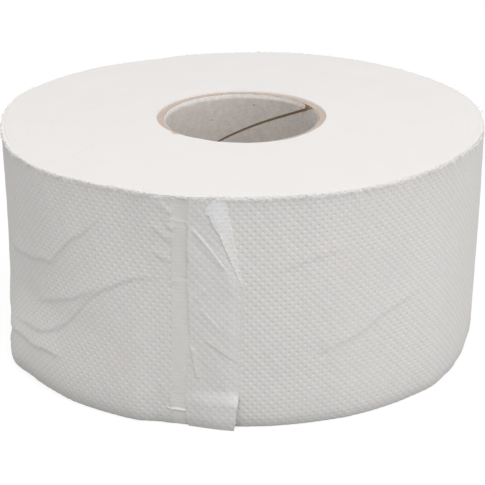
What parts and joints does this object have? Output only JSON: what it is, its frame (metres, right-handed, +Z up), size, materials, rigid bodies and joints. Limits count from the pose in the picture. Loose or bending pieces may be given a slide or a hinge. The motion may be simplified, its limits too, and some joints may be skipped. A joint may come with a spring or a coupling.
{
  "type": "toilet paper roll",
  "caption": "Wide toilet paper roll on end: embossed tissue wound on a board core, with a glue band and a loose tail tab at the front.",
  "frame": {"origin": "on the core's axis, in the plane of the lower end face", "axes": "+Z up along the core's axis; -Y to the front, where the tail of the web lies"},
  "size_m": [0.1896, 0.193, 0.088],
  "materials": {
    "tissue": "soft matt, embossed with small dots",
    "tan_board": "matt tan board with a cut edge",
    "grey_board": "matt grey board"
  },
  "bodies": {
    "root": {"tissue_roll": "tissue", "core_outer_ply": "tan_board", "core_inner_ply": "grey_board"}
  },
  "joints": []
}
